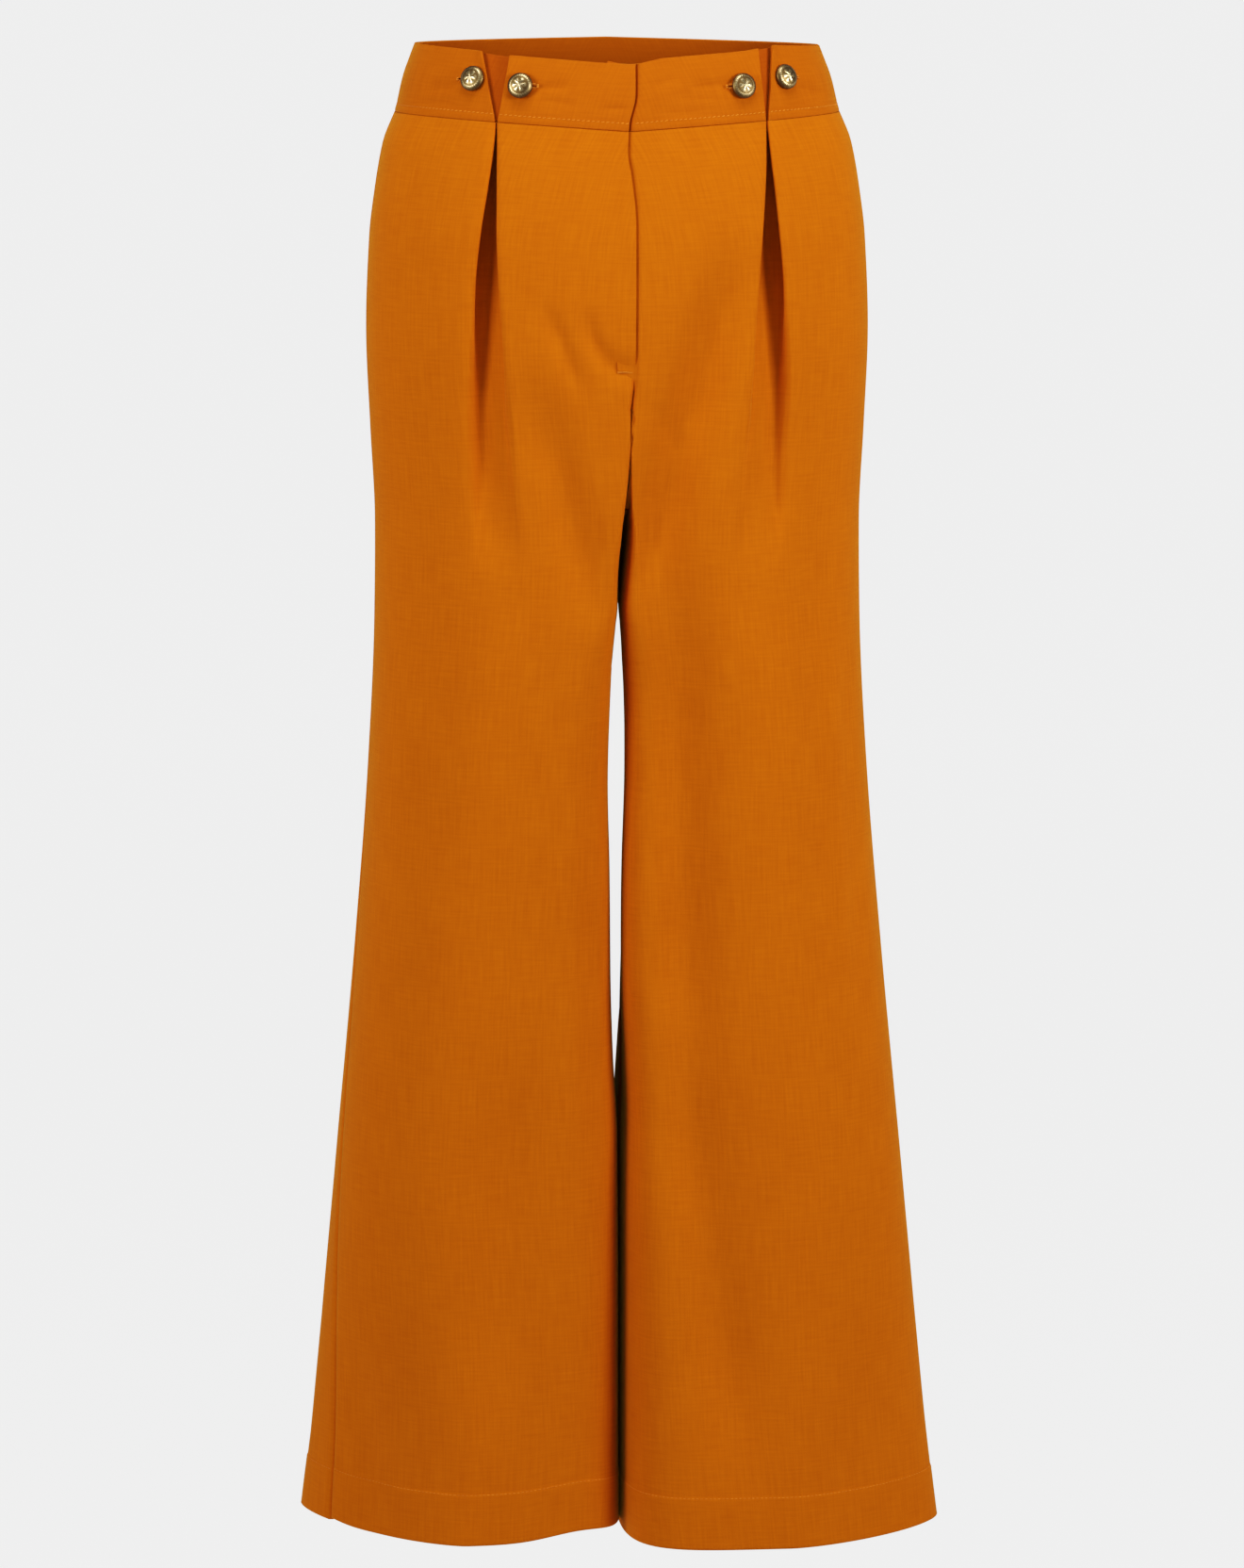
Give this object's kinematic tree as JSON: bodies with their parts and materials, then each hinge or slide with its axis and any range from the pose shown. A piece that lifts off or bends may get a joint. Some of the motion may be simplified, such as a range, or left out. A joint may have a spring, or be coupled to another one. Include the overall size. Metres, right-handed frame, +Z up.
{
  "type": "wide-leg trousers",
  "caption": "High-waisted trousers with flared wide legs, inverted pleats below V notches in the waistband, domed buttons and a fly front, filled out as worn.",
  "frame": {"origin": "middle of the waist, half way up the band, where the wearer holds the trousers up", "axes": "+Z up along the body, -Y out of the front, +X towards the wearer's left"},
  "size_m": [0.4508, 0.2386, 1.0453],
  "materials": {
    "ochre_cloth": "fine plain weave, matte with a slight sheen",
    "band_cloth": "the same cloth, stiffened and topstitched",
    "inner_cloth": "the same cloth in shadow, matte",
    "zip_tape": "woven tape, matte",
    "antique_brass": "antique, dark in the hollows and worn bright on the relief"
  },
  "bodies": {
    "root": {"front_panel_right": "ochre_cloth", "front_panel_left": "ochre_cloth", "back_panel_right": "ochre_cloth", "back_panel_left": "ochre_cloth", "band_side_right": "band_cloth", "band_side_left": "band_cloth", "band_centre_right": "band_cloth", "band_centre_left": "band_cloth", "band_back_right": "band_cloth", "band_back_left": "band_cloth", "notch_underlay_right": "inner_cloth", "notch_underlay_left": "inner_cloth", "fly_zip": "zip_tape", "fly_shield": "inner_cloth", "button_right_outer": "antique_brass", "button_right_inner": "antique_brass", "button_left_inner": "antique_brass", "button_left_outer": "antique_brass"}
  },
  "joints": []
}
